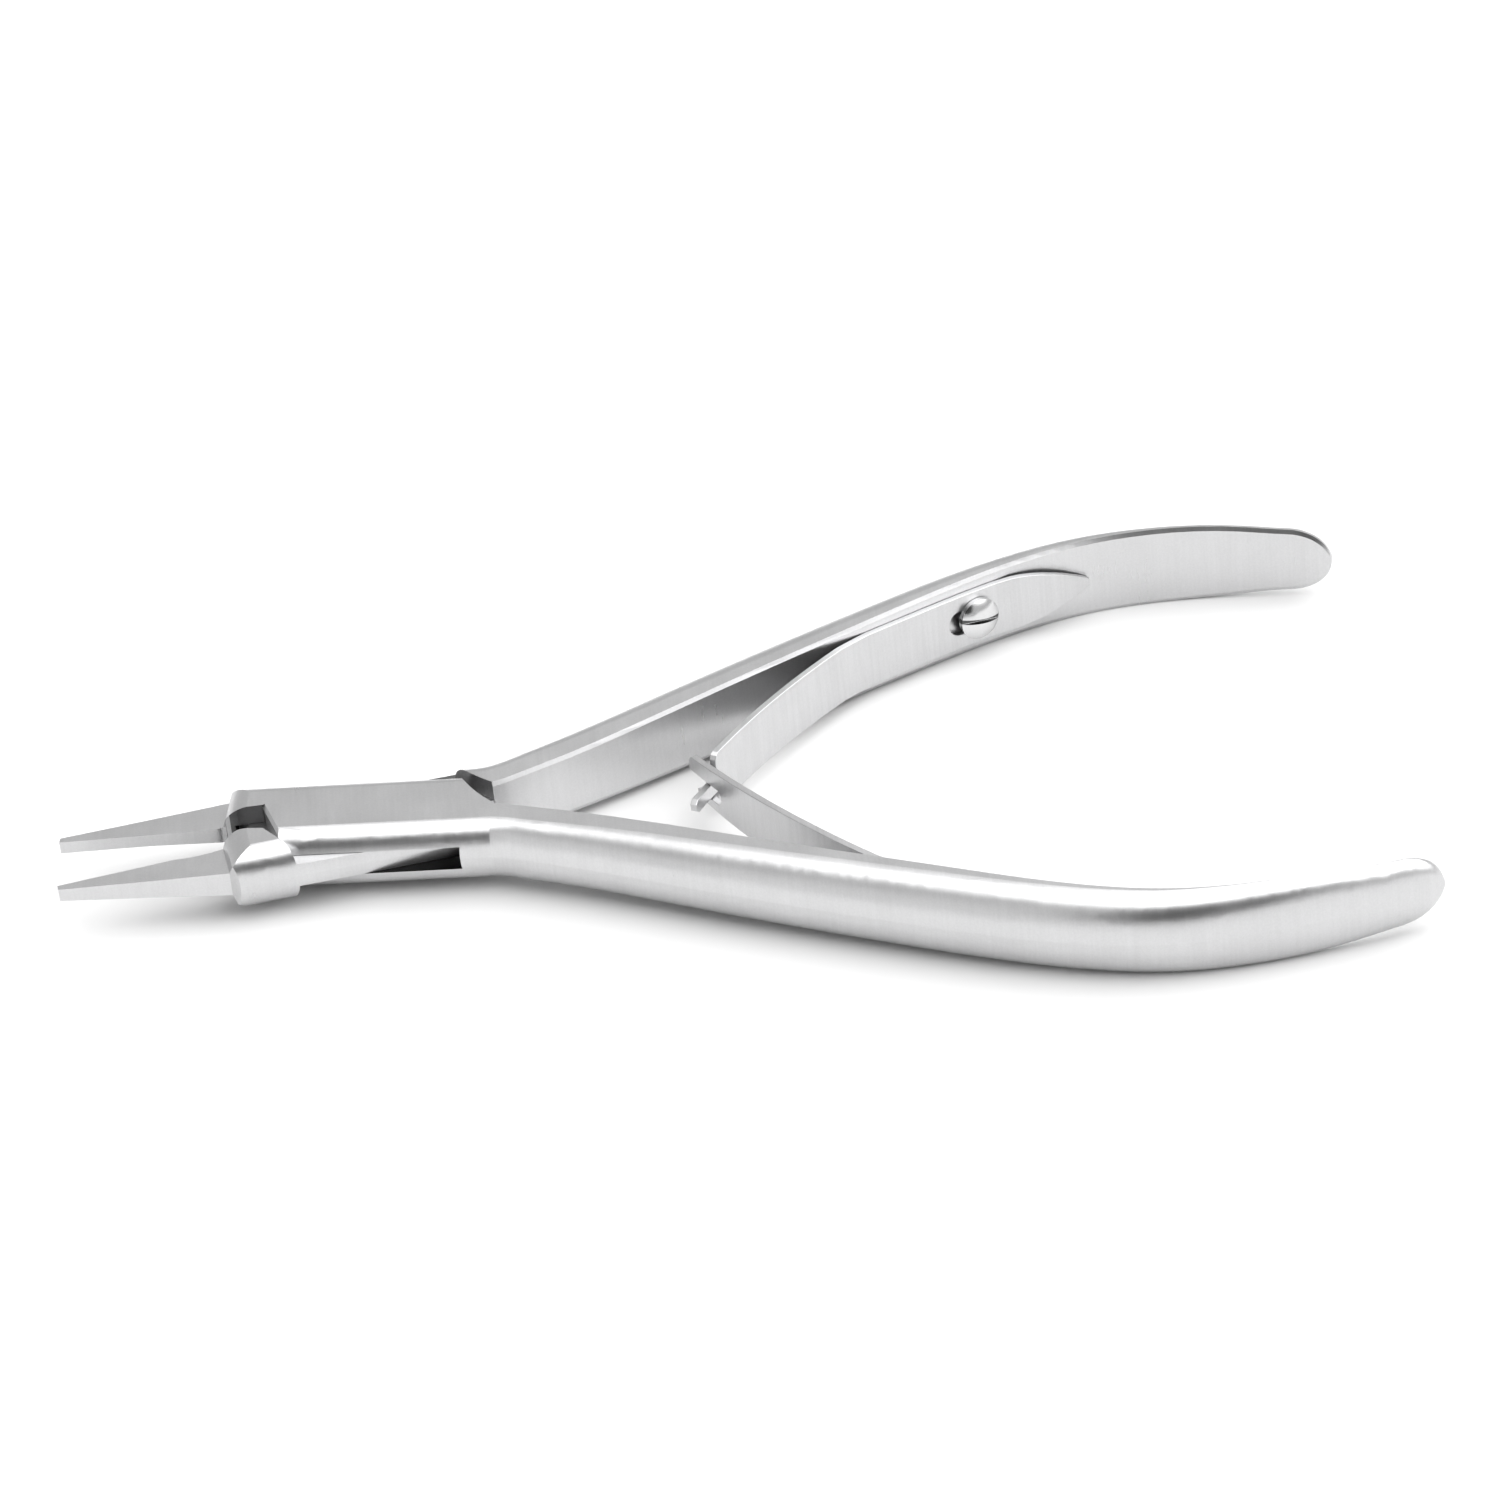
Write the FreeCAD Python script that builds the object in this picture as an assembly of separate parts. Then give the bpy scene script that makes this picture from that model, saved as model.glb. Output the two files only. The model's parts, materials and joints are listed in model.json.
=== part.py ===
import FreeCAD, Part
import math
import os
from FreeCAD import Vector

# Flat nose pliers with a box joint, two leaf springs and two slotted screws.
# Both halves are drawn with the jaws shut, then turned apart to the rest pose.
# Origin on the pivot axis at the underside of the box, +Z up along the
# pivot, +X towards the handles, +Y towards the handle of the tongue half.

os.makedirs("parts", exist_ok=True)

# ---- driving dimensions, mm -------------------------------------------------
OPEN_HALF_ANGLE = 7.6          # each half turns this far from shut to open

JAW_TIP_X = -29.95             # tip of the jaws, measured from the pivot
JAW_ROOT_X = -13.7             # where the jaw starts to swell into the box
JAW_TIP_THICK = 0.72           # jaw thickness across the grip at the tip
JAW_TAPER = 0.243              # growth of that thickness per mm of length
JAW_TIP_HALF_HEIGHT = 0.64
JAW_ROOT_HALF_HEIGHT = 1.24

BOX_HALF_WIDTH = 5.6           # box across the pliers
BOX_HALF_HEIGHT = 3.2          # box along the pivot
BOX_SIDE = 2.3                 # depth of the rounded sides
ROOT_THICK = BOX_HALF_WIDTH - 0.72     # handle where it leaves the box
FULLNESS = 0.62                # rounded sides: 0.55 is an ellipse, 1 is square
BOX_LEFT_X = -12.9
PLATE_BEVEL = 0.3              # on the slanted left edges of the box plates
BOX_RIGHT_X = 13.0
PIVOT_RADIUS = 2.0
PIVOT_RUNNING_GAP = 0.04
TONGUE_HALF_THICK = 1.2
TONGUE_GAP = 0.03
TONGUE_HALF_WIDTH = 5.56

HANDLE_SPLIT = 0.72            # the two handles sit this far to one side
HANDLE_ROOT_GAP = 0.05
HANDLE_BEVEL_DEPTH = 0.22      # bevel on the rims of the inner face, across
HANDLE_BEVEL_HEIGHT = 0.42     # and along the height of the handle
ROOT_BLEND = 12.0              # sections turn from square to X over this length
# inner face of a handle seen from above: x, distance from the centre line
HANDLE_CURVE = ((13.0, 0.0), (20.5, 2.2), (36.3, 8.4), (57.7, 16.85),
                (70.0, 21.1), (78.7, 22.6), (88.6, 21.7), (102.9, 16.75))
# distance along the inner face, thickness, half height, share that is rounded
HANDLE_STATIONS = ((0.0, ROOT_THICK, BOX_HALF_HEIGHT, BOX_SIDE / ROOT_THICK),
                   (8.0, 4.8, 3.3, 0.5), (25.0, 4.85, 3.7, 0.62),
                   (48.0, 4.5, 4.1, 0.74), (65.0, 3.55, 4.25, 0.82),
                   (75.0, 2.5, 4.3, 0.86), (82.0, 2.0, 4.15, 0.86),
                   (89.0, 1.8, 3.6, 0.83))
HANDLE_STEP = 4.0              # spacing of the sections the skin runs through
HANDLE_END_ROUND = 4.6         # length of the rounded end

LEAF_THICK = 0.7
LEAF_WIDTH = 5.9
LEAF_ARC_RADIUS = 100.0        # the free blades curve on this radius
LEAF_CORNER = 0.6
FOOT_START = 41.8              # distance along the handle where the blade bends off
# distance along the handle, gap between the leaf and the handle
FOOT_GAPS = ((41.8, 0.05), (48.0, 0.05), (54.0, 0.05), (58.9, 0.06),
             (62.0, 0.32), (64.8, 0.52), (67.4, 0.38), (69.4, 0.08))
TAIL_START = 60.8              # from here the leaf narrows to a point
TAIL_END = 69.4
TAIL_END_WIDTH = 0.7
HINGE_CLEARANCE = 0.04
TONGUE_BLADE_ANGLE = 14.4      # blade leaves the handle at this angle
FORK_BLADE_ANGLE = 18.3
TONGUE_BLADE_LENGTH = 29.0
TONGUE_BLADE_SHOULDER = 24.4
TONGUE_TIP_WIDTH = 1.4
FORK_BLADE_LENGTH = 31.2
FORK_SHORT_PRONG = 1.3         # the lower prong ends this much earlier
FORK_TAPER_START = 7.0         # the fork narrows from here to its tips
FORK_TIP_WIDTH = 4.0
FORK_SLOT_WIDTH = 1.6
FORK_SLOT_LENGTH = 5.7
SLOT_DROP = 0.4                # tongue and slot lie this far below the middle

SCREW_STATION = 56.6           # distance along the handle
SCREW_RADIUS = 1.25
SCREW_DEPTH = 2.6
SCREW_HEAD_RADIUS = 2.2
SCREW_HEAD_RIM = 0.55
SCREW_HEAD_DOME = 0.65
SCREW_SLOT_WIDTH = 0.45
SCREW_SLOT_DEPTH = 0.7
LEAF_HOLE_WIDTH = 2.7
LEAF_HOLE_REACH = 3.6          # hole reaches this far towards the jaws
SCREW_SEAT = 0.82              # underside of the head above the handle
SCREW_SLOT_TURN = -9.0          # slot is turned this far from the handle's line

MID_HEIGHT = BOX_HALF_HEIGHT   # the underside of the box lies on z = 0
UP = Vector(0, 0, 1)


# ---- small helpers ----------------------------------------------------------
def face_prism(edges, z0, z1):
    """solid over a closed plan outline, from z0 up to z1"""
    wire = Part.Wire(edges)
    wire.translate(Vector(0, 0, z0))
    return Part.Face(wire).extrude(Vector(0, 0, z1 - z0))


def prism(points, z0, z1):
    """solid over a plan polygon"""
    corners = [Vector(x, y, 0) for x, y in points]
    corners.append(corners[0])
    return face_prism(Part.makePolygon(corners).Edges, z0, z1)


def line(a, b):
    return Part.makeLine(Vector(a[0], a[1], 0), Vector(b[0], b[1], 0))


def arc(a, b, c):
    """circular arc through three plan points"""
    points = [Vector(p[0], p[1], 0) for p in (a, b, c)]
    return Part.Arc(*points).toShape()


def rounded_side(centre, across, up, depth, half_height):
    """two curves from the top, out to the side, and on to the bottom"""
    outline = ((0, 1), (FULLNESS, 1), (1, FULLNESS), (1, 0))
    quarters = []
    for flip in (1, -1):
        poles = [centre + across * (depth * n) + up * (flip * half_height * z)
                 for n, z in outline]
        curve = Part.BezierCurve()
        curve.setPoles(poles if flip > 0 else poles[::-1])
        quarters.append(curve.toShape())
    return quarters


def box_bar(x0, x1, half_width, half_height):
    """bar along X with flat top and bottom and rounded sides"""
    flat = half_width - BOX_SIDE
    edges = []
    for side in (1, -1):
        centre = Vector(x0, side * flat, 0)
        rise = Vector(0, 0, side)
        edges += rounded_side(centre, Vector(0, side, 0), rise, BOX_SIDE,
                              half_height)
        edges.append(Part.makeLine(Vector(x0, side * flat, -side * half_height),
                                   Vector(x0, -side * flat, -side * half_height)))
    face = Part.Face(Part.Wire(edges))
    return face.extrude(Vector(x1 - x0, 0, 0))


def end_wedges():
    """what is ground off above and below the end of the box near the jaws"""
    wedges = []
    for flip in (1, -1):
        slope = [Vector(x, -8, flip * z) for x, z in
                 ((-13.9, 1.22), (-12.85, 2.55), (-11.1, 3.21))]
        rim = [slope[2], Vector(-11.1, -8, flip * 4.5),
               Vector(-13.9, -8, flip * 4.5), slope[0]]
        edges = [Part.Arc(*slope).toShape()]
        edges += [Part.makeLine(a, b) for a, b in zip(rim, rim[1:])]
        wedges.append(Part.Face(Part.Wire(edges)).extrude(Vector(0, 16, 0)))
    return wedges


def handle_curve(side):
    """inner face of a handle seen from above"""
    shift = HANDLE_ROOT_GAP - HANDLE_SPLIT if side > 0 else HANDLE_SPLIT
    points = [Vector(x, side * (y + shift), 0) for x, y in HANDLE_CURVE]
    curve = Part.BSplineCurve()
    curve.interpolate(points)
    return curve


def handle_frame(curve, side, distance):
    """point on the inner face, direction along it, direction outwards"""
    u = curve.parameterAtDistance(max(distance, 0))
    point = curve.value(u) + Vector(min(distance, 0), 0, 0)
    turn = min(max(distance / ROOT_BLEND, 0), 1)
    along = Vector(1, 0, 0) * (1 - turn) + curve.tangent(u)[0] * turn
    along.normalize()
    return point, along, UP.cross(along) * side


def handle_section(point, out, thick, half, rounded):
    """D shaped section: flat inner face with two bevels, rounded outside"""
    bevel = min(HANDLE_BEVEL_DEPTH, 0.12 * thick)
    drop = min(HANDLE_BEVEL_HEIGHT, 0.3 * half)
    depth = thick * rounded
    corners = ((0, half - drop), (bevel, half), (thick - depth, half))
    top = [point + out * n + UP * z for n, z in corners]
    low = [point + out * n - UP * z for n, z in corners]
    edges = [Part.makeLine(low[0], top[0]), Part.makeLine(top[0], top[1]),
             Part.makeLine(top[1], top[2])]
    edges += rounded_side(point + out * (thick - depth), out, UP, depth, half)
    edges += [Part.makeLine(low[2], low[1]), Part.makeLine(low[1], low[0])]
    return Part.Wire(edges)


def station_value(stations, column, distance):
    """smooth value between the listed stations, straight beyond them"""
    last = len(stations) - 1
    k = 0
    while k < last - 1 and distance > stations[k + 1][0]:
        k += 1
    slopes = []
    for n in (k, k + 1):
        a = stations[max(n - 1, 0)]
        b = stations[min(n + 1, last)]
        slopes.append((b[column] - a[column]) / (b[0] - a[0]))
    step = stations[k + 1][0] - stations[k][0]
    t = (distance - stations[k][0]) / step
    rise = stations[k + 1][column] - stations[k][column]
    ease = 3 * t ** 2 - 2 * t ** 3
    return (stations[k][column] + rise * ease
            + step * (slopes[0] * (t - 2 * t ** 2 + t ** 3)
                      + slopes[1] * (t ** 3 - t ** 2)))


def handle_solid(side, root):
    """handle as a skin through its sections, with a rounded end"""
    curve = handle_curve(side)
    length = curve.length()
    start = length - HANDLE_END_ROUND
    stations = [root] + list(HANDLE_STATIONS)
    count = round(start / HANDLE_STEP)
    places = [-4.0, -2.0] + [start * n / count for n in range(count + 1)]
    wires = []
    for distance in places:
        values = [station_value(stations, k, distance) for k in (1, 2, 3)]
        point, along, out = handle_frame(curve, side, distance)
        wires.append(handle_section(point, out, *values))
    body = Part.makeLoft(wires, True, False)
    thick, half, rounded = [station_value(stations, k, start) for k in (1, 2, 3)]
    wires = []
    for turn in (0, 12, 25, 38, 50, 61, 70, 78, 85):
        forward = math.sin(math.radians(turn))
        shrink = math.cos(math.radians(turn))
        point, along, out = handle_frame(curve, side,
                                         start + forward * HANDLE_END_ROUND)
        wires.append(handle_section(point, out, thick * (0.4 + 0.6 * shrink),
                                    half * shrink, rounded))
    return body.fuse(Part.makeLoft(wires, True, False))


def jaw_section(x, side, inner, outer, top, low_outer, low_inner, bevel):
    points = ((inner, top), (outer, top), (outer, -low_outer),
              (inner + bevel, -low_outer), (inner, -low_inner))
    corners = [Vector(x, side * y, z) for y, z in points]
    corners.append(corners[0])
    return Part.makePolygon(corners)


def jaw_thick(x):
    return JAW_TIP_THICK + JAW_TAPER * (x - JAW_TIP_X)


def jaw_solid(side):
    """tapered jaw, flat on the grip side, and its swelling into the box"""
    mid = -21.0
    mid_half = 0.95
    tip = jaw_section(JAW_TIP_X, side, 0, JAW_TIP_THICK, JAW_TIP_HALF_HEIGHT,
                      JAW_TIP_HALF_HEIGHT, JAW_TIP_HALF_HEIGHT - 0.02, 0.05)
    middle = jaw_section(mid, side, 0, jaw_thick(mid), mid_half, mid_half, 0.3,
                         1.1)
    root = jaw_section(JAW_ROOT_X, side, 0, jaw_thick(JAW_ROOT_X),
                       JAW_ROOT_HALF_HEIGHT, JAW_ROOT_HALF_HEIGHT, 0.3, 1.6)
    full = jaw_section(BOX_LEFT_X, side, 0, BOX_HALF_WIDTH, BOX_HALF_HEIGHT,
                       BOX_HALF_HEIGHT, BOX_HALF_HEIGHT - 0.4, 0.4)
    inside = jaw_section(BOX_LEFT_X + 0.6, side, 0, BOX_HALF_WIDTH,
                         BOX_HALF_HEIGHT, BOX_HALF_HEIGHT,
                         BOX_HALF_HEIGHT - 0.4, 0.4)
    jaw = Part.makeLoft([tip, middle, root], True, True)
    swell = Part.makeLoft([root, full, inside], True, True)
    bar = box_bar(JAW_ROOT_X - 0.5, BOX_LEFT_X + 1.0, BOX_HALF_WIDTH,
                  BOX_HALF_HEIGHT)
    return jaw.fuse(swell.common(bar))


def bevel_wedges(a, b):
    """wedges that bevel the top and bottom rims of a plate edge from a to b"""
    start = Vector(a[0], a[1], 0)
    along = Vector(b[0], b[1], 0) - start
    out = along.cross(UP).normalize() * -1
    if out.x > 0:
        out = out * -1
    rim = ((-PLATE_BEVEL, BOX_HALF_HEIGHT), (0, BOX_HALF_HEIGHT - PLATE_BEVEL),
           (1, BOX_HALF_HEIGHT - PLATE_BEVEL), (1, BOX_HALF_HEIGHT + 1),
           (-PLATE_BEVEL, BOX_HALF_HEIGHT + 1))
    wedges = []
    for flip in (1, -1):
        corners = [start + out * n + UP * (flip * z) for n, z in rim]
        corners.append(corners[0])
        wedges.append(Part.Face(Part.makePolygon(corners)).extrude(along))
    return wedges


# ---- the two halves ---------------------------------------------------------
def box_half():
    """half with the upper jaw, the slotted box and the lower handle"""
    bar = box_bar(BOX_LEFT_X, BOX_RIGHT_X, BOX_HALF_WIDTH, BOX_HALF_HEIGHT)
    outline = [line((BOX_LEFT_X, 0.45), (-9.7, 0.9)),
               line((-9.7, 0.9), (-6.85, -6.0)),
               line((-6.85, -6.0), (BOX_RIGHT_X, -6.0)),
               line((BOX_RIGHT_X, -6.0), (BOX_RIGHT_X, -HANDLE_SPLIT)),
               line((BOX_RIGHT_X, -HANDLE_SPLIT), (12.8, -0.5)),
               arc((12.8, -0.5), (10.65, 2.15), (8.8, 6.0)),
               line((8.8, 6.0), (BOX_LEFT_X, 6.0)),
               line((BOX_LEFT_X, 6.0), (BOX_LEFT_X, 0.45))]
    plates = bar.common(face_prism(outline, -4, 4))
    plates = plates.cut(bevel_wedges((-9.7, 0.9), (-6.85, -6.0)))
    root = (-4.0, ROOT_THICK, BOX_HALF_HEIGHT, BOX_SIDE / ROOT_THICK)
    beyond = Part.makeBox(120, 60, 12, Vector(BOX_RIGHT_X, -50, -6))
    body = plates.fuse(handle_solid(-1, root).common(beyond))
    throat = face_prism([arc((-14.6, 0.0), (-14.0, 0.14), (-13.4, 0.5)),
                         line((-13.4, 0.5), (-12.2, 0.55)),
                         line((-12.2, 0.55), (-12.2, -1.0)),
                         line((-12.2, -1.0), (-14.6, -1.0)),
                         line((-14.6, -1.0), (-14.6, 0.0))], -4, 4)
    body = body.fuse(jaw_solid(1)).cut(throat)
    gap = TONGUE_HALF_THICK + TONGUE_GAP
    slot = prism([(-14, -6.5), (-14, 0.44), (-12.6, 0.44), (-9.8, 6.5),
                  (14.0, 6.5), (13.1, -0.7), (12.35, -0.76), (9.5, -6.5)],
                 -gap, gap)
    hole = Part.makeCylinder(PIVOT_RADIUS, 8, Vector(0, 0, -4))
    return body.cut([slot, hole] + end_wedges()).removeSplitter()


def tongue_half():
    """half with the lower jaw, the tongue in the box and the upper handle"""
    bar = box_bar(BOX_LEFT_X, -6.5, BOX_HALF_WIDTH, BOX_HALF_HEIGHT)
    shoulder = bar.common(prism([(BOX_LEFT_X, 0.05), (-12.1, 0.05),
                                 (-9.65, -0.8), (-7.1, -5.8), (-7.1, -6.0),
                                 (BOX_LEFT_X, -6.0)], -4, 4))
    thin = box_bar(-12.5, BOX_RIGHT_X, TONGUE_HALF_WIDTH, BOX_HALF_HEIGHT)
    tongue = thin.common(prism([(-11.9, -4.0), (-11.9, 0.6), (-9.55, 6.0),
                                (10.5, 6.0), (13.0, 1.0), (12.9, -0.6),
                                (12.0, -0.68), (9.6, -5.8), (-8.5, -5.8)],
                               -TONGUE_HALF_THICK, TONGUE_HALF_THICK))
    keep = face_prism([arc((9.3, 7.0), (10.9, 2.6), (12.95, -0.4)),
                       line((12.95, -0.4), (12.95, -8.0)),
                       line((12.95, -8.0), (110, -8.0)),
                       line((110, -8.0), (110, 40)),
                       line((110, 40), (9.3, 40)),
                       line((9.3, 40), (9.3, 7.0))], -6, 6)
    handle = handle_solid(1, (-4.0, 5.6, 3.17, 0.45)).common(keep)
    relief = face_prism([arc((-18.5, 0.0), (-16.0, -0.28), (-13.4, 0.0)),
                         line((-13.4, 0.0), (-13.4, 1.0)),
                         line((-13.4, 1.0), (-18.5, 1.0)),
                         line((-18.5, 1.0), (-18.5, 0.0))], -4, 4)
    body = shoulder.fuse([tongue, handle, jaw_solid(-1).cut(relief)])
    hole = Part.makeCylinder(PIVOT_RADIUS + PIVOT_RUNNING_GAP, 8,
                             Vector(0, 0, -4))
    return body.cut([hole] + end_wedges()).removeSplitter()


def pivot_pin():
    """plain pin, pressed into both plates and ground flush"""
    return Part.makeCylinder(PIVOT_RADIUS, 2 * BOX_HALF_HEIGHT,
                             Vector(0, 0, -BOX_HALF_HEIGHT))


# ---- springs and screws -----------------------------------------------------
def leaf_outline(points, start, along, out):
    """prism through a leaf over (distance, height) points in an upright plane"""
    corners = [start + along * d + UP * z - out * 6 for d, z in points]
    corners.append(corners[0])
    return Part.Face(Part.makePolygon(corners)).extrude(out * 12)


def mirrored(upper, middle=0.0):
    """closed outline whose lower edge mirrors the upper one"""
    return ([(d, middle + z) for d, z in upper]
            + [(d, middle - z) for d, z in reversed(upper)])


def curve_points(a, b, bulge, count):
    """points from a to b along a shallow arc that bulges upwards"""
    points = []
    for n in range(count + 1):
        t = n / count
        points.append((a[0] + (b[0] - a[0]) * t,
                       a[1] + (b[1] - a[1]) * t + 4 * bulge * t * (1 - t)))
    return points


def foot_band(side):
    """full width band that follows the inner face of the handle"""
    curve = handle_curve(side)
    faces = []
    for extra in (0.0, LEAF_THICK):
        points = []
        for distance, gap in FOOT_GAPS:
            point, along, out = handle_frame(curve, side, distance)
            points.append(point - out * (gap + extra))
        face = Part.BSplineCurve()
        face.interpolate(points)
        faces.append(face)
    near, far = faces
    first = Part.makeLine(near.StartPoint, far.StartPoint)
    last = Part.makeLine(far.EndPoint, near.EndPoint)
    wire = Part.Wire([near.toShape(), last, far.toShape(), first])
    wire.translate(UP * (-LEAF_WIDTH / 2.0))
    return Part.Face(wire).extrude(UP * LEAF_WIDTH)


def screw_frame(side):
    return handle_frame(handle_curve(side), side, SCREW_STATION)


def leaf_hole(side):
    """oblong hole in the leaf, longer towards the jaws"""
    point, along, out = screw_frame(side)
    half = LEAF_HOLE_WIDTH / 2.0
    reach = LEAF_HOLE_REACH - half
    near = Part.makeCylinder(half, 6, point + out, out * -1)
    far = Part.makeCylinder(half, 6, point + out - along * reach, out * -1)
    corner = point + out - along * reach - UP * half
    corners = [corner, corner + along * reach,
               corner + along * reach + UP * (2 * half),
               corner + UP * (2 * half), corner]
    middle = Part.Face(Part.makePolygon(corners)).extrude(out * -6)
    return near.fuse([far, middle])


def spring_foot(side):
    """part of the leaf clamped along the handle, with its pointed tail"""
    start, along, out = handle_frame(handle_curve(side), side, TAIL_START)
    half = LEAF_WIDTH / 2.0
    tail = [(-20.0, half), (0.0, half)]
    tail += curve_points((0.0, half), (TAIL_END - TAIL_START, TAIL_END_WIDTH / 2.0),
                         0.5, 8)[1:]
    leaf = foot_band(side).common(leaf_outline(mirrored(tail), start,
                                                     along, out))
    hinge = spring_hinge(side)[0]
    knuckle = Part.makeCylinder(LEAF_THICK / 2.0 + HINGE_CLEARANCE, 10,
                                hinge - UP * 5)
    return leaf.cut(knuckle).cut(leaf_hole(side))


def spring_hinge(side):
    """where the blade starts to bend away from the handle"""
    point, along, out = handle_frame(handle_curve(side), side, FOOT_START)
    gap = FOOT_GAPS[0][1]
    return point - out * (gap + LEAF_THICK / 2.0), along * -1, out * -1


def blade_frame(side, angle, distance):
    """point, direction and inward direction at a distance along the blade"""
    hinge, along, inward = spring_hinge(side)
    turn = distance / LEAF_ARC_RADIUS
    start = math.radians(angle)
    forward = LEAF_ARC_RADIUS * (math.sin(start + turn) - math.sin(start))
    sink = LEAF_ARC_RADIUS * (math.cos(start) - math.cos(start + turn))
    point = hinge + along * forward + inward * sink
    across = inward * math.cos(start + turn) - along * math.sin(start + turn)
    heading = along * math.cos(start + turn) + inward * math.sin(start + turn)
    return point, heading, across


def blade_band(side, angle, length):
    """full width curved blade from the hinge to its tip"""
    faces = []
    for offset in (-LEAF_THICK / 2.0, LEAF_THICK / 2.0):
        points = []
        for distance in (0, length / 2.0, length):
            point, heading, across = blade_frame(side, angle, distance)
            points.append(point + across * offset)
        faces.append(points)
    near, far = faces
    edges = [Part.Arc(*near).toShape(), Part.makeLine(near[2], far[2]),
             Part.Arc(*far).toShape(), Part.makeLine(far[0], near[0])]
    wire = Part.Wire(Part.__sortEdges__(edges))
    wire.translate(UP * (-LEAF_WIDTH / 2.0))
    return Part.Face(wire).extrude(UP * LEAF_WIDTH)


def blade_plane(side, angle, length):
    """start, direction and sideways direction of the blade's chord"""
    start = blade_frame(side, angle, 0)[0]
    tip = blade_frame(side, angle, length)[0]
    along = (tip - start).normalize()
    return start, along, UP.cross(along)


def knuckle_solid(side):
    hinge = spring_hinge(side)[0]
    return Part.makeCylinder(LEAF_THICK / 2.0, LEAF_WIDTH,
                             hinge - UP * (LEAF_WIDTH / 2.0))


def tongue_blade():
    """free blade of the spring that ends in a narrow tongue"""
    plane = blade_plane(1, TONGUE_BLADE_ANGLE, TONGUE_BLADE_LENGTH)
    half = LEAF_WIDTH / 2.0
    tip = TONGUE_TIP_WIDTH / 2.0
    edge = TONGUE_BLADE_SHOULDER
    end = TONGUE_BLADE_LENGTH
    corner = [(-2.0, half), (edge - LEAF_CORNER, half),
              (edge - LEAF_CORNER * 0.3, half - LEAF_CORNER * 0.3),
              (edge, half - LEAF_CORNER)]
    tongue = [(edge - 1.0, tip), (end - 0.5, tip), (end, tip * 0.5)]
    band = blade_band(1, TONGUE_BLADE_ANGLE, end)
    wide = band.common(leaf_outline(mirrored(corner), *plane))
    slim = band.common(leaf_outline(mirrored(tongue, -SLOT_DROP), *plane))
    return knuckle_solid(1).fuse([wide, slim]).removeSplitter()


def prong_edge(end):
    """upper edge of the fork, from the hinge to a prong that ends there"""
    half = LEAF_WIDTH / 2.0
    tip = FORK_TIP_WIDTH / 2.0
    tip += (FORK_BLADE_LENGTH - end) * (half - tip) / FORK_BLADE_LENGTH
    edge = [(-2.0, half)]
    edge += curve_points((FORK_TAPER_START, half), (end - 0.5, tip), 0.25, 8)
    edge.append((end, tip - 0.5))
    return edge


def fork_blade():
    """free blade of the spring that ends in a two pronged fork"""
    plane = blade_plane(-1, FORK_BLADE_ANGLE, FORK_BLADE_LENGTH)
    end = FORK_BLADE_LENGTH
    low_end = end - FORK_SHORT_PRONG
    low = [(d, -z) for d, z in reversed(prong_edge(low_end))]
    outline = prong_edge(end) + [(end, 0.0), (low_end, 0.0)] + low
    band = blade_band(-1, FORK_BLADE_ANGLE, end)
    blade = knuckle_solid(-1).fuse(band.common(leaf_outline(outline, *plane)))
    open_half = FORK_SLOT_WIDTH / 2.0
    bottom = end - FORK_SLOT_LENGTH
    slot = [(bottom, 0.4 * open_half), (bottom + 0.4, open_half),
            (end + 2, open_half)]
    return blade.cut(leaf_outline(mirrored(slot, -SLOT_DROP), *plane))


def screw(side):
    """slotted dome head screw that clamps the leaf to the handle"""
    point, along, out = screw_frame(side)
    seat = point - out * SCREW_SEAT
    shank = Part.makeCylinder(SCREW_RADIUS, SCREW_SEAT + SCREW_DEPTH, seat, out)
    height = SCREW_HEAD_RIM + SCREW_HEAD_DOME
    ball = (SCREW_HEAD_RADIUS ** 2 + SCREW_HEAD_DOME ** 2) / (2 * SCREW_HEAD_DOME)
    top = seat - out * height
    head = Part.makeCylinder(SCREW_HEAD_RADIUS, height, seat, out * -1)
    head = head.common(Part.makeSphere(ball, top + out * ball))
    turn = math.radians(SCREW_SLOT_TURN)
    run = along * math.cos(turn) + UP * math.sin(turn)
    wide = run.cross(out)
    corner = top + out * SCREW_SLOT_DEPTH - run * 3 - wide * (SCREW_SLOT_WIDTH / 2.0)
    corners = [corner, corner + run * 6, corner + run * 6 + wide * SCREW_SLOT_WIDTH,
               corner + wide * SCREW_SLOT_WIDTH, corner]
    slot = Part.Face(Part.makePolygon(corners)).extrude(out * -2)
    return head.cut(slot).fuse(shank).removeSplitter()


def screw_hole(side):
    point, along, out = screw_frame(side)
    return Part.makeCylinder(SCREW_RADIUS, SCREW_DEPTH + 1.5, point - out, out)


# ---- assembly ---------------------------------------------------------------
def place(shape, side):
    """turn a half from shut to the rest pose and stand it on z = 0"""
    shape.rotate(Vector(0, 0, 0), UP, side * OPEN_HALF_ANGLE)
    shape.translate(Vector(0, 0, MID_HEIGHT))
    return shape


def build():
    return {
        "box_half": place(box_half().cut(screw_hole(-1)), -1),
        "tongue_half": place(tongue_half().cut(screw_hole(1)), 1),
        "pivot_pin": place(pivot_pin(), 1),
        "fork_spring_foot": place(spring_foot(-1), -1),
        "fork_spring_blade": place(fork_blade(), -1),
        "fork_spring_screw": place(screw(-1), -1),
        "tongue_spring_foot": place(spring_foot(1), 1),
        "tongue_spring_blade": place(tongue_blade(), 1),
        "tongue_spring_screw": place(screw(1), 1),
    }


for name, shape in build().items():
    shape.exportStep(os.path.join("parts", name + ".step"))
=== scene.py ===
import bmesh
import bpy
import json
import math
from mathutils import Matrix, Vector
from mathutils.bvhtree import BVHTree


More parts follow.
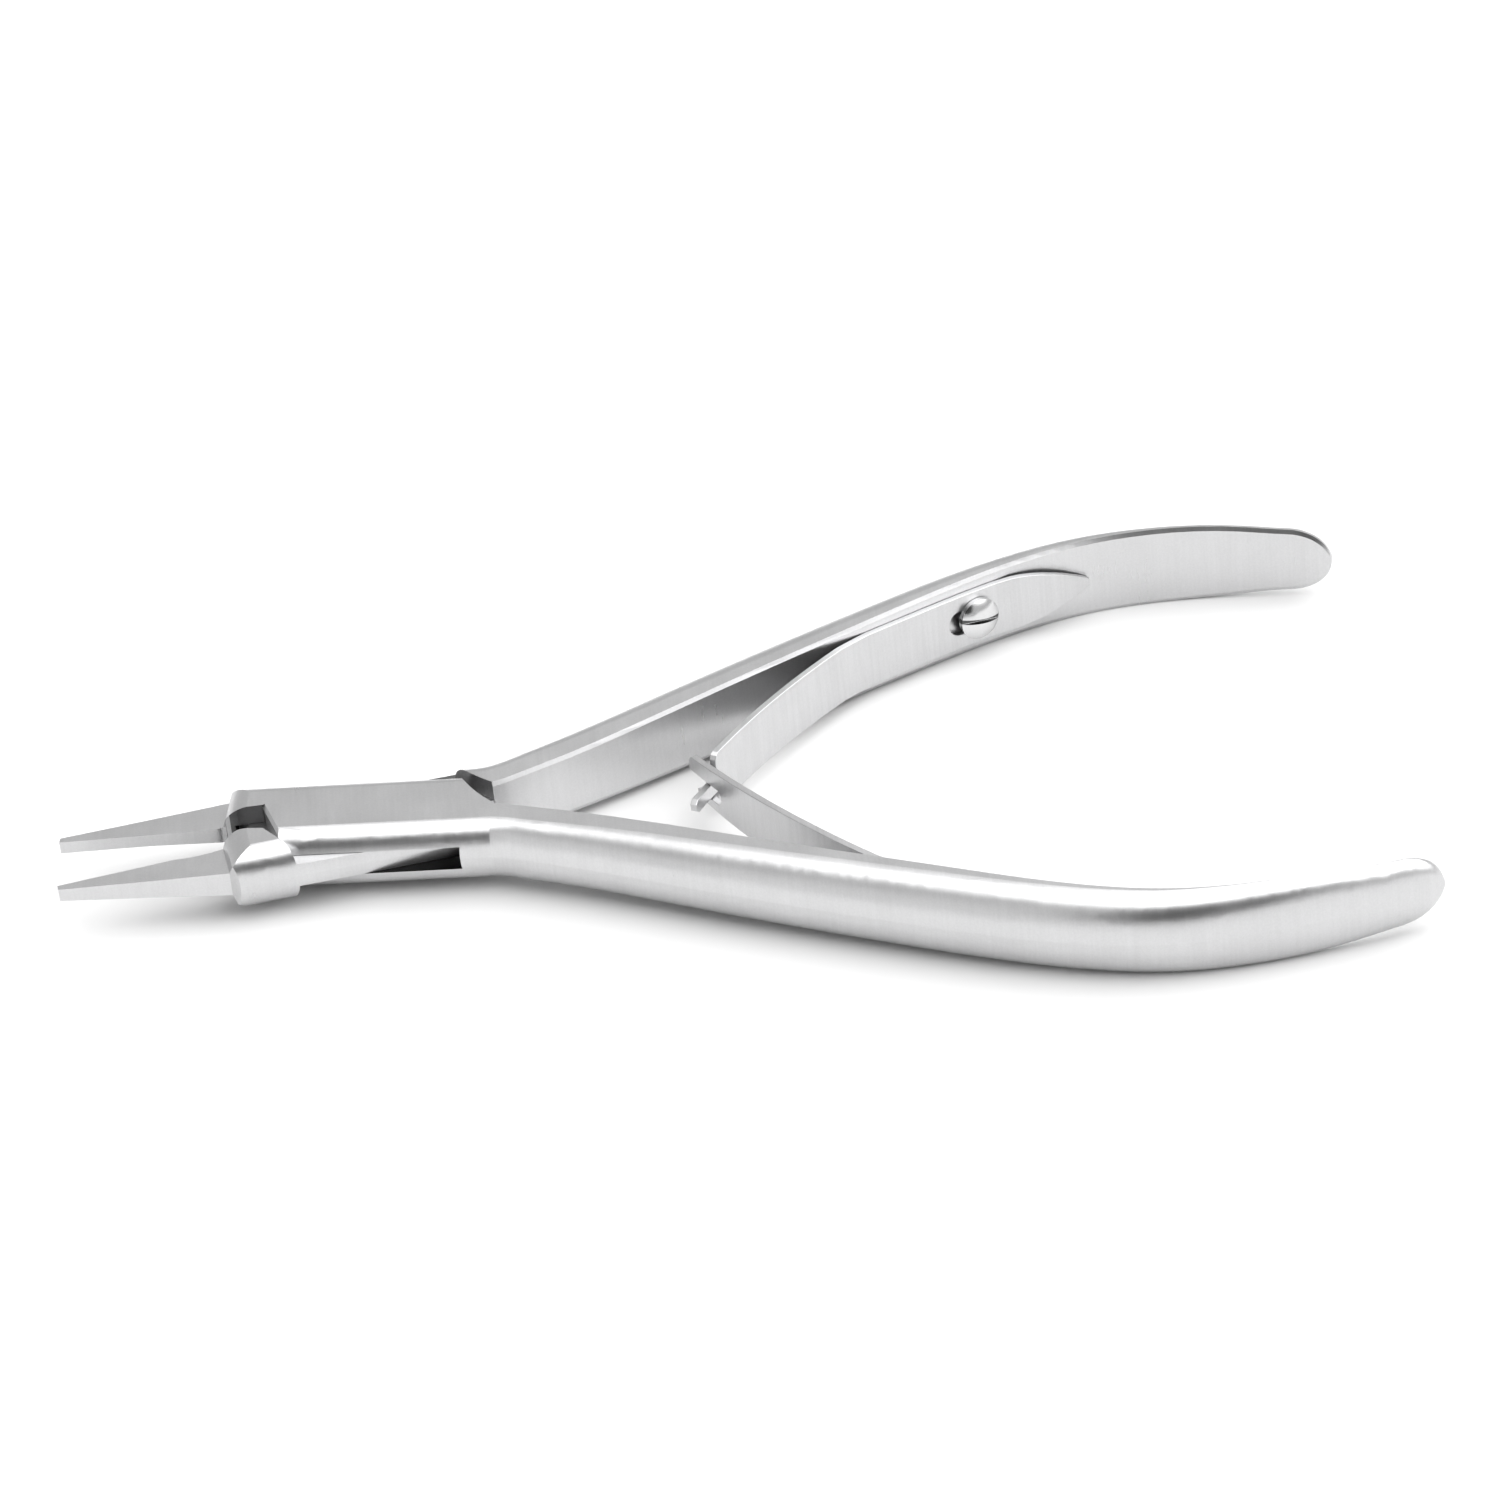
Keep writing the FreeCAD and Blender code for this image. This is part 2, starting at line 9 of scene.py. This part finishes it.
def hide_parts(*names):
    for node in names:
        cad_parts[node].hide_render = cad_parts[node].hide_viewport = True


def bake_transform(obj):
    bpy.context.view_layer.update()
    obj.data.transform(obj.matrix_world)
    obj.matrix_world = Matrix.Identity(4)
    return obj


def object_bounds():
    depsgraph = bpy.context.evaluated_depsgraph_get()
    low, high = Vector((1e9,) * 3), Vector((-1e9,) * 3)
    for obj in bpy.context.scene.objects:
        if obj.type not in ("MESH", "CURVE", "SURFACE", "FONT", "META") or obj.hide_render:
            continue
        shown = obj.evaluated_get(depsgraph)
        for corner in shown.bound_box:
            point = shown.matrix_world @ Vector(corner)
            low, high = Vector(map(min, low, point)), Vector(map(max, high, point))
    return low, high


# Flat nose pliers: satin ground stainless steel halves with a box joint, two
# bright slotted screws and two leaf springs that are bent from one strip each.

MM = 0.001
UP = Vector((0, 0, 1))

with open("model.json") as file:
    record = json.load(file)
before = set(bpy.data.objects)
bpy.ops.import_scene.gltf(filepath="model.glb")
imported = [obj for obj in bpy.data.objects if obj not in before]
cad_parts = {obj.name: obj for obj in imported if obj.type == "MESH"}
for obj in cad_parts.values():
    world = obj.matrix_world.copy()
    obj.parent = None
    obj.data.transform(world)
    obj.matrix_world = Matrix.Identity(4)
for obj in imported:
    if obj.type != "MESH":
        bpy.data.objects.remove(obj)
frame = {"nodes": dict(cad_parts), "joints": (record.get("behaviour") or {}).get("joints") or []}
nodes = frame["nodes"]
joints = {joint["name"]: joint for joint in frame["joints"]}
cad_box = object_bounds()
middle = joints["fork_flex"]["pos_m"][2]      # height of the mid-plane

# ---- sizes, mm --------------------------------------------------------------
SLOT_HALF_HEIGHT = 1.26        # faces of the slot in the box lie below this
SLOT_REACH = 13.0              # and this near to the pivot
THROAT_RIGHT = -9.2            # the throat's upright wall is left of this
THROAT_WALL = 2.1              # its distance from the middle line
THROAT_WALL_HALF = 0.55        # and how far either side of that it reaches
THROAT_SHADE_SHARE = 0.8             # how dark the throat's painted shade is beside the slot's faces
GROOVE_SHADE = 0.12             # brightness of the painted shade between the walls of a screw's slot
LEAF_THICK = 0.7
LEAF_WIDTH = 5.9
LEAF_EDGE = 0.07               # broken edges of the strip
LEAF_ARC_RADIUS = 100.0
TAIL_LENGTH = 27.6             # from the bend to the pointed end
TAIL_TAPER = 8.6
TAIL_TIP_HALF = 0.35           # half the width of its blunt point
TAIL_BULGE = 2.0               # fullness of its two curved sides
TONGUE_ANGLE = 14.4
TONGUE_LENGTH = 29.0
TONGUE_SHOULDER = 24.4
TONGUE_TIP_WIDTH = 1.4
FORK_ANGLE = 18.3
FORK_LENGTH = 31.2
FORK_SHORT_PRONG = 1.3         # the lower prong ends this much earlier
FORK_TAPER_START = 7.0         # the fork narrows from here to its tips
FORK_TIP_HALF = 2.0            # half its width at the long prong's tip
FORK_SLOT = 5.7
FORK_SLOT_WIDTH = 1.6
SLOT_DROP = 0.4                # tongue and slot lie this far below the middle
SCREW_AT = 14.8                # screw axis, measured back from the bend
SCREW_SLOT_TURN = -9.0         # slot against the handle's line, degrees
SCREW_SLOT_HALF = 0.24         # half its width
HOLE_WIDTH = 2.7
HOLE_REACH = 3.6
CUT_STEP = 0.75                # the flat strip is cut this finely, to bend
CREASE = 0.35                  # edges sharper than this stay crisp, radians
BLEND_FROM = -3.0              # two distances at which the spring's path is evaluated, to no effect
BLEND_TO = 9.0
SAMPLE_STEP = 0.8              # steps along the handle's inner face
# distance back from the bend, gap between the leaf and the handle
FOOT_GAPS = ((0.0, 0.05), (17.1, 0.06), (20.2, 0.32), (23.0, 0.52),
             (25.6, 0.38), (27.6, 0.08))


# ---- material building ------------------------------------------------------
class Graph:
    """small helper that adds and links shader nodes"""

    def __init__(self, owner):
        """owner is the material or world that the nodes belong to"""
        owner.use_nodes = True
        self.tree = owner.node_tree
        self.tree.nodes.clear()

    def add(self, kind, inputs=None, **settings):
        node = self.tree.nodes.new(kind)
        for key, value in settings.items():
            setattr(node, key, value)
        for key, value in (inputs or {}).items():
            if isinstance(value, bpy.types.NodeSocket):
                self.tree.links.new(value, node.inputs[key])
            else:
                node.inputs[key].default_value = value
        return node

    def noise(self, where, scale, detail=3.0, rough=0.6):
        node = self.add("ShaderNodeTexNoise", {"Vector": where, "Scale": scale,
                                               "Detail": detail,
                                               "Roughness": rough})
        return node.outputs["Fac"]

    def stretch(self, where, scale, turn=0.0):
        node = self.add("ShaderNodeMapping", {"Vector": where, "Scale": scale,
                                              "Rotation": (0, 0, turn)})
        return node.outputs["Vector"]

    def span(self, value, low, high, to_low, to_high):
        node = self.add("ShaderNodeMapRange", {"Value": value, "From Min": low,
                                               "From Max": high,
                                               "To Min": to_low,
                                               "To Max": to_high})
        return node.outputs["Result"]

    def math(self, kind, a, b):
        node = self.add("ShaderNodeMath", {0: a, 1: b}, operation=kind)
        return node.outputs[0]


def slot_shadow(g, where, least, from_x, throat):
    """painted shade where shade falls in the box's slot: 1 outside, least on the
    flat faces inside it that lie right of from_x, in mm; a throat of 1 adds
    painted shade on the throat's wall, 0 doesn't"""
    place = g.add("ShaderNodeSeparateXYZ", {0: where}).outputs
    normal = g.add("ShaderNodeNewGeometry").outputs["Normal"]
    slope = g.add("ShaderNodeSeparateXYZ", {0: normal}).outputs[2]
    steep = g.math("ABSOLUTE", slope, 0.0)
    flat = g.math("GREATER_THAN", steep, 0.9)
    height = g.math("ABSOLUTE", g.math("SUBTRACT", place[2], middle), 0.0)
    deep = g.math("LESS_THAN", height, SLOT_HALF_HEIGHT * MM)
    ring = g.math("ADD", g.math("POWER", place[0], 2.0),
                  g.math("POWER", place[1], 2.0))
    near = g.math("LESS_THAN", ring, (SLOT_REACH * MM) ** 2)
    inside = g.math("MULTIPLY", flat, g.math("MULTIPLY", deep, near))
    right = g.math("GREATER_THAN", place[0], from_x * MM)
    inside = g.math("MULTIPLY", inside, right)
    # painted shade on the upright wall of the throat, beside the shoulder of the other half
    upright = g.math("LESS_THAN", steep, 0.3)
    left = g.math("LESS_THAN", place[0], THROAT_RIGHT * MM)
    across = g.math("ABSOLUTE", g.math("SUBTRACT", place[1], THROAT_WALL * MM), 0.0)
    wall = g.math("MULTIPLY", g.math("MULTIPLY", upright, left),
                  g.math("LESS_THAN", across, THROAT_WALL_HALF * MM))
    wall = g.math("MULTIPLY", wall, g.math("MULTIPLY", near, throat))
    wall = g.math("MULTIPLY", wall, THROAT_SHADE_SHARE)
    return g.span(g.math("MAXIMUM", inside, wall), 0.0, 1.0, 1.0, least)


def groove_shadow(g, where, point, normal, half):
    """1 outside, painted shade between the walls of a groove cut through point"""
    offset = g.add("ShaderNodeVectorMath", {0: where, 1: tuple(point)},
                   operation="SUBTRACT").outputs[0]
    dot = g.add("ShaderNodeVectorMath", {0: offset, 1: tuple(normal)},
                operation="DOT_PRODUCT").outputs["Value"]
    inside = g.math("LESS_THAN", g.math("ABSOLUTE", dot, 0.0), half)
    return g.span(inside, 0.0, 1.0, 1.0, GROOVE_SHADE)


def steel(name, tone, rough, streaks, grain, turn=0.0, wear=0.02, painted_slot_shade=(),
          groove=()):
    """satin ground steel: fine grain, grinding streaks across the length,
    slow cloudy changes of tone and a few rubbed spots; optionally painted shade
    inside the box's slot and between the walls of a screw's slot"""
    material = bpy.data.materials.new(name)
    g = Graph(material)
    where = g.add("ShaderNodeTexCoord").outputs["Object"]
    across = g.noise(g.stretch(where, (3400, 170, 120), turn), 1.0, 3.0, 0.6)
    broad = g.noise(g.stretch(where, (900, 90, 60), turn), 1.0, 2.0, 0.5)
    fine = g.noise(where, 5200.0, 2.0, 0.6)
    cloud = g.noise(where, 130.0, 3.0, 0.55)
    spots = g.noise(where, 420.0, 5.0, 0.75)
    shade = g.math("ADD", g.span(across, 0.3, 0.7, -streaks, streaks),
                   g.span(broad, 0.3, 0.7, -0.5 * streaks, 0.5 * streaks))
    shade = g.math("ADD", shade, g.span(fine, 0.3, 0.7, -grain, grain))
    shade = g.math("ADD", shade, g.span(cloud, 0.35, 0.65, -0.02, 0.02))
    rub = g.span(spots, 0.66, 0.74, 0.0, wear)
    bright = g.math("ADD", g.math("ADD", shade, 1.0), rub)
    # painted shade: darker inside the box's slot and between a screw's slot walls
    if painted_slot_shade:
        bright = g.math("MULTIPLY", bright, slot_shadow(g, where, *painted_slot_shade))
    if groove:
        bright = g.math("MULTIPLY", bright, groove_shadow(g, where, *groove))
    colour = g.add("ShaderNodeMix", {"Factor": 1.0, 6: (*tone, 1.0)},
                   data_type="RGBA", blend_type="MULTIPLY")
    grey = g.add("ShaderNodeCombineColor", {0: bright, 1: bright, 2: bright})
    g.tree.links.new(grey.outputs[0], colour.inputs[7])
    roughness = g.math("ADD", g.span(cloud, 0.3, 0.7, rough - 0.02, rough + 0.02),
                       g.span(across, 0.3, 0.7, -0.012, 0.012))
    height = g.math("ADD", g.math("MULTIPLY", across, 0.5),
                    g.math("MULTIPLY", fine, 0.8))
    bump = g.add("ShaderNodeBump", {"Strength": 0.2, "Distance": 0.000015,
                                    "Height": height})
    shader = g.add("ShaderNodeBsdfPrincipled",
                   {"Base Color": colour.outputs[2], "Metallic": 1.0,
                    "Roughness": roughness, "Normal": bump.outputs["Normal"]})
    out = g.add("ShaderNodeOutputMaterial")
    g.tree.links.new(shader.outputs[0], out.inputs[0])
    return material


def dress(obj, material):
    obj.data.materials.clear()
    obj.data.materials.append(material)


# painted shade on the flat faces in the box's slot and on the throat's wall
box_steel = steel("Satin steel of the box half", (0.62, 0.62, 0.625), 0.3, 0.02,
                  0.03, math.radians(7.6), painted_slot_shade=(0.06, -14.0, 1.0))
# painted shade on the tongue's flat faces in the slot, right of x = 6 mm
tongue_steel = steel("Satin steel of the tongue half", (0.62, 0.62, 0.625), 0.3,
                     0.02, 0.03, math.radians(-7.6), painted_slot_shade=(0.3, 6.0, 0.0))
pin_steel = steel("Ground steel of the pin", (0.62, 0.62, 0.625), 0.3, 0.02, 0.03)
leaf_steel = steel("Rolled steel of the springs", (0.6, 0.6, 0.605), 0.34, 0.035,
                   0.03)

dress(nodes["box_half"], box_steel)
dress(nodes["tongue_half"], tongue_steel)
dress(nodes["pivot_pin"], pin_steel)


# ---- leaf springs -----------------------------------------------------------
def between(table, x):
    """value at x on straight lines through the listed points"""
    for (x0, y0), (x1, y1) in zip(table, table[1:]):
        if x <= x1:
            return y0 + (y1 - y0) * max(x - x0, 0.0) / (x1 - x0)
    return table[-1][1]


def handle_line(node, hinge, side):
    """points and outward directions along the handle's inner face, stepping
    back from the bend towards the handle's end"""
    tree = BVHTree.FromPolygons([v.co for v in nodes[node].data.vertices],
                                [tuple(p.vertices) for p in
                                 nodes[node].data.polygons])
    out = Vector((0, side, 0))
    clear = Vector((0, 0, 0.002))      # passes above the screw's hole
    start = tree.ray_cast(hinge + clear, out, 0.01)[0]
    probe = tree.ray_cast(hinge + clear + Vector((0.002, 0, 0)), out, 0.01)[0]
    along = (probe - start).normalized()
    points = [start]
    step = SAMPLE_STEP * MM
    while len(points) * step < (TAIL_LENGTH + 1.6) * MM:
        out = UP.cross(along) * side
        guess = points[-1] + along * step
        hit = tree.ray_cast(guess - out * 0.0015, out, 0.01)[0]
        points.append(hit)
        back = points[max(len(points) - 4, 0)]
        along = (hit - back).normalized()
    return [point - clear for point in points]


def centre_line(node, hinge, side, angle, length):
    """centre line of the leaf as (distance from the bend, point)"""
    face = handle_line(node, hinge, side)
    line = []
    total = 0.0
    for k in range(1, len(face) - 1):
        total += (face[k] - face[k - 1]).length
        along = (face[k + 1] - face[k - 1]).normalized()
        out = UP.cross(along) * side
        back = total / MM
        gap = between(FOOT_GAPS, back) + LEAF_THICK / 2.0
        if back > 1.5:
            line.append((-back, face[k] - out * (gap * MM)))
    line.reverse()
    along = (face[2] - face[0]).normalized() * -1
    inward = UP.cross(along) * side
    radius = LEAF_ARC_RADIUS * MM
    start = math.radians(angle)
    distance = 2.0
    while distance < length + 1.0:
        turn = distance / LEAF_ARC_RADIUS
        forward = radius * (math.sin(start + turn) - math.sin(start))
        sink = radius * (math.cos(start) - math.cos(start + turn))
        line.append((distance, hinge + along * forward + inward * sink))
        distance += 1.0
    return line


def smooth_path(line):
    """function from distance to (point, direction), smooth through the line"""
    keys = [k for k, p in line]
    points = [p for k, p in line]

    def at(distance):
        n = 0
        while n < len(keys) - 2 and distance > keys[n + 1]:
            n += 1
        a = max(n - 1, 0)
        d = min(n + 2, len(keys) - 1)
        h = keys[n + 1] - keys[n]
        t = (distance - keys[n]) / h
        m0 = (points[n + 1] - points[a]) / (keys[n + 1] - keys[a]) * h
        m1 = (points[d] - points[n]) / (keys[d] - keys[n]) * h
        p = (points[n] * (2 * t ** 3 - 3 * t ** 2 + 1)
             + m0 * (t ** 3 - 2 * t ** 2 + t)
             + points[n + 1] * (3 * t ** 2 - 2 * t ** 3)
             + m1 * (t ** 3 - t ** 2))
        q = (points[n] * (6 * t ** 2 - 6 * t) + m0 * (3 * t ** 2 - 4 * t + 1)
             + points[n + 1] * (6 * t - 6 * t ** 2) + m1 * (3 * t ** 2 - 2 * t))
        return p, q.normalized()
    return at


def tail_outline():
    """upper edge of the pointed tail, from its end to full width"""
    half = LEAF_WIDTH / 2.0
    edge = []
    for n in range(13):
        t = n / 12.0
        edge.append((-TAIL_LENGTH + TAIL_TAPER * t,
                     TAIL_TIP_HALF + (half - TAIL_TIP_HALF) * t
                     + TAIL_BULGE * t * (1 - t)))
    return edge


def flipped(edge):
    """the same edge on the lower side, running the other way"""
    return [(s, -z) for s, z in reversed(edge)]


def round_hole(s0, s1, half):
    """oblong hole between two centres on the middle line"""
    ring = []
    for n in range(13):
        turn = math.pi * (0.5 + n / 12.0)
        ring.append((s0 + half * math.cos(turn), half * math.sin(turn)))
    for n in range(13):
        turn = math.pi * (1.5 + n / 12.0)
        ring.append((s1 + half * math.cos(turn), half * math.sin(turn)))
    return ring


def leaf_spring(name, outlines, path, start, end):
    """flat strip with holes and broken edges, cut finely and then bent"""
    flat = bpy.data.curves.new(name, "CURVE")
    flat.dimensions = "2D"
    flat.fill_mode = "BOTH"
    flat.extrude = LEAF_THICK / 2.0 - LEAF_EDGE
    flat.bevel_depth = LEAF_EDGE
    flat.bevel_resolution = 1
    flat.offset = -LEAF_EDGE
    for outline in outlines:
        spline = flat.splines.new("POLY")
        spline.points.add(len(outline) - 1)
        for point, (s, z) in zip(spline.points, outline):
            point.co = (s, z, 0, 1)
        spline.use_cyclic_u = True
    holder = bpy.data.objects.new(name + "_flat", flat)
    mesh = bpy.data.meshes.new_from_object(holder)
    mesh.name = name
    bpy.data.objects.remove(holder)
    work = bmesh.new()
    work.from_mesh(mesh)
    bmesh.ops.remove_doubles(work, verts=work.verts, dist=0.002)
    s = start
    while s < end:
        bmesh.ops.bisect_plane(work, geom=work.verts[:] + work.edges[:] + work.faces[:],
                               plane_co=(s, 0, 0), plane_no=(1, 0, 0), dist=0.001)
        s += CUT_STEP
    for vertex in work.verts:
        point, along = path(vertex.co.x)
        out = UP.cross(along)
        vertex.co = point + out * (vertex.co.z * MM) + UP * (vertex.co.y * MM)
    bmesh.ops.recalc_face_normals(work, faces=work.faces)
    for face in work.faces:
        face.smooth = True
    for edge in work.edges:
        if len(edge.link_faces) == 2 and edge.calc_face_angle(0.0) > CREASE:
            edge.smooth = False
    work.to_mesh(mesh)
    work.free()
    obj = bpy.data.objects.new(name, mesh)
    bpy.context.scene.collection.objects.link(obj)
    dress(obj, leaf_steel)
    return obj


def make_spring(name, half, prefix, joint, side, angle, length, tip):
    """one bent leaf spring that stands for its foot and blade, and its screw's
    steel with painted shade in its slot; side is 1 on the +Y handle and -1 on the other"""
    hinge = Vector(joints[joint]["pos_m"])
    path = smooth_path(centre_line(half, hinge, side, angle, length))
    hole = round_hole(-SCREW_AT, -SCREW_AT + HOLE_REACH - HOLE_WIDTH / 2.0,
                      HOLE_WIDTH / 2.0)
    outline = tail_outline() + tip + flipped(tail_outline())
    spring = leaf_spring(name, [outline, hole], path, -TAIL_LENGTH + 0.4, length)
    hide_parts(prefix + "_foot", prefix + "_blade")
    path(BLEND_FROM)[0]
    path(BLEND_TO)[0]
    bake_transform(spring)
    point, towards_jaws = path(-SCREW_AT)
    turn = math.radians(SCREW_SLOT_TURN)
    run = UP * math.sin(turn) - towards_jaws * math.cos(turn)
    across = run.cross(UP.cross(towards_jaws)).normalized()
    # bright screw steel with painted shade between the walls of its slot
    bright_steel = steel("Bright steel of the " + prefix + " screw",
                         (0.68, 0.68, 0.685), 0.16, 0.01, 0.02,
                         groove=(point, across, SCREW_SLOT_HALF * MM))
    dress(nodes[prefix + "_screw"], bright_steel)


def tongue_tip():
    """upper shoulder, the narrow tongue below the middle, lower shoulder"""
    half = LEAF_WIDTH / 2.0
    slim = TONGUE_TIP_WIDTH / 2.0
    corner = [(TONGUE_SHOULDER - 0.6, half),
              (TONGUE_SHOULDER - 0.18, half - 0.18),
              (TONGUE_SHOULDER, half - 0.6)]
    tongue = [(TONGUE_SHOULDER, slim - SLOT_DROP),
              (TONGUE_LENGTH - 0.5, slim - SLOT_DROP),
              (TONGUE_LENGTH, slim / 2.0 - SLOT_DROP),
              (TONGUE_LENGTH, -slim / 2.0 - SLOT_DROP),
              (TONGUE_LENGTH - 0.5, -slim - SLOT_DROP),
              (TONGUE_SHOULDER, -slim - SLOT_DROP)]
    return [(0.0, half)] + corner + tongue + flipped(corner) + [(0.0, -half)]


def prong_edge(end):
    """tapering upper edge of the fork up to a prong that ends there"""
    half = LEAF_WIDTH / 2.0
    tip = FORK_TIP_HALF + (FORK_LENGTH - end) * (half - FORK_TIP_HALF) / FORK_LENGTH
    edge = []
    for n in range(9):
        t = n / 8.0
        edge.append((FORK_TAPER_START + (end - FORK_TAPER_START - 0.5) * t,
                     half + (tip - half) * t + t * (1 - t)))
    return edge + [(end, tip - 0.5)]


def fork_tip():
    """long upper prong, slot below the middle, shorter lower prong"""
    half = LEAF_WIDTH / 2.0
    open_half = FORK_SLOT_WIDTH / 2.0
    low_end = FORK_LENGTH - FORK_SHORT_PRONG
    bottom = FORK_LENGTH - FORK_SLOT
    slot = [(FORK_LENGTH, open_half - SLOT_DROP),
            (bottom + 0.4, open_half - SLOT_DROP),
            (bottom, 0.4 * open_half - SLOT_DROP),
            (bottom, -0.4 * open_half - SLOT_DROP),
            (bottom + 0.4, -open_half - SLOT_DROP),
            (low_end, -open_half - SLOT_DROP)]
    return ([(0.0, half)] + prong_edge(FORK_LENGTH) + slot
            + flipped(prong_edge(low_end)) + [(0.0, -half)])


make_spring("tongue_spring_leaf", "tongue_half", "tongue_spring", "tongue_flex",
            1, TONGUE_ANGLE, TONGUE_LENGTH, tongue_tip())
make_spring("fork_spring_leaf", "box_half", "fork_spring", "fork_flex",
            -1, FORK_ANGLE, FORK_LENGTH, fork_tip())

# ---- floor, light, camera ---------------------------------------------------
lowest = cad_box[0].z


def floor_mesh():
    mesh = bpy.data.meshes.new("floor")
    work = bmesh.new()
    size = 6.0
    corners = [work.verts.new((x, y, lowest)) for x, y in
               ((-size, -size), (size, -size), (size, size), (-size, size))]
    work.faces.new(corners)
    work.to_mesh(mesh)
    work.free()
    obj = bpy.data.objects.new("floor", mesh)
    bpy.context.scene.collection.objects.link(obj)
    material = bpy.data.materials.new("White table")
    g = Graph(material)
    shader = g.add("ShaderNodeBsdfPrincipled",
                   {"Base Color": (0.72, 0.72, 0.72, 1.0), "Roughness": 0.9})
    out = g.add("ShaderNodeOutputMaterial")
    g.tree.links.new(shader.outputs[0], out.inputs[0])
    dress(obj, material)
    return obj


floor_mesh()


def studio_world():
    """big soft light overhead and to the right, grey room, dim patch in front"""
    world = bpy.data.worlds.new("Studio")
    bpy.context.scene.world = world
    g = Graph(world)
    where = g.add("ShaderNodeTexCoord").outputs["Generated"]

    def towards(direction, edge, middle, low, high):
        """soft round patch of light about a direction, by its angles"""
        aim = Vector(direction).normalized()
        dot = g.add("ShaderNodeVectorMath", {0: where, 1: tuple(aim)},
                    operation="DOT_PRODUCT")
        node = g.add("ShaderNodeMapRange",
                     {"Value": dot.outputs["Value"],
                      "From Min": math.cos(math.radians(edge)),
                      "From Max": math.cos(math.radians(middle)),
                      "To Min": low, "To Max": high},
                     interpolation_type="SMOOTHSTEP")
        return node.outputs["Result"]

    light = g.math("ADD", towards((0.42, -0.03, 0.89), 56, 40, 0.0, 2.3), 0.6)
    light = g.math("ADD", light, towards((-0.55, -0.8, 0.0), 55, 20, 0.0, 0.38))
    light = g.math("SUBTRACT", light,
                   towards((-0.04, -0.914, 0.407), 32, 14, 0.0, 1.1))
    light = g.math("MAXIMUM", light, 0.03)
    shade = g.add("ShaderNodeBackground", {"Color": (1.0, 1.0, 1.0, 1.0),
                                           "Strength": light})
    out = g.add("ShaderNodeOutputWorld")
    g.tree.links.new(shade.outputs[0], out.inputs[0])


studio_world()

CAMERA_LENS = 134.29           # mm, on a sensor 36 mm wide
CAMERA_TURN = 1.55             # looks this far to the right of +Y, degrees
CAMERA_DROP = 31.3             # and this far down
CAMERA_ROLL = 6.127            # leans clockwise
CAMERA_AIM = (38.26, 6.61)     # point on the mid-plane that it looks at, mm
CAMERA_DISTANCE = 549.0        # mm from that point

camera_data = bpy.data.cameras.new("camera")
camera_data.sensor_width = 36.0
camera_data.lens = CAMERA_LENS
camera = bpy.data.objects.new("camera", camera_data)
bpy.context.scene.collection.objects.link(camera)
azimuth = math.radians(CAMERA_TURN)
drop = math.radians(CAMERA_DROP)
forward = Vector((math.sin(azimuth) * math.cos(drop),
                  math.cos(azimuth) * math.cos(drop), -math.sin(drop)))
level = Vector((forward.y, -forward.x, 0)).normalized()
rise = level.cross(forward)
roll = math.radians(CAMERA_ROLL)
right = level * math.cos(roll) - rise * math.sin(roll)
top = level * math.sin(roll) + rise * math.cos(roll)
aim = Vector((CAMERA_AIM[0] * MM, CAMERA_AIM[1] * MM, middle))
eye = aim - forward * (CAMERA_DISTANCE * MM)
camera.matrix_world = Matrix(((right.x, top.x, -forward.x, eye.x),
                              (right.y, top.y, -forward.y, eye.y),
                              (right.z, top.z, -forward.z, eye.z),
                              (0, 0, 0, 1)))
bpy.context.scene.camera = camera
bpy.context.scene.view_settings.view_transform = "Standard"
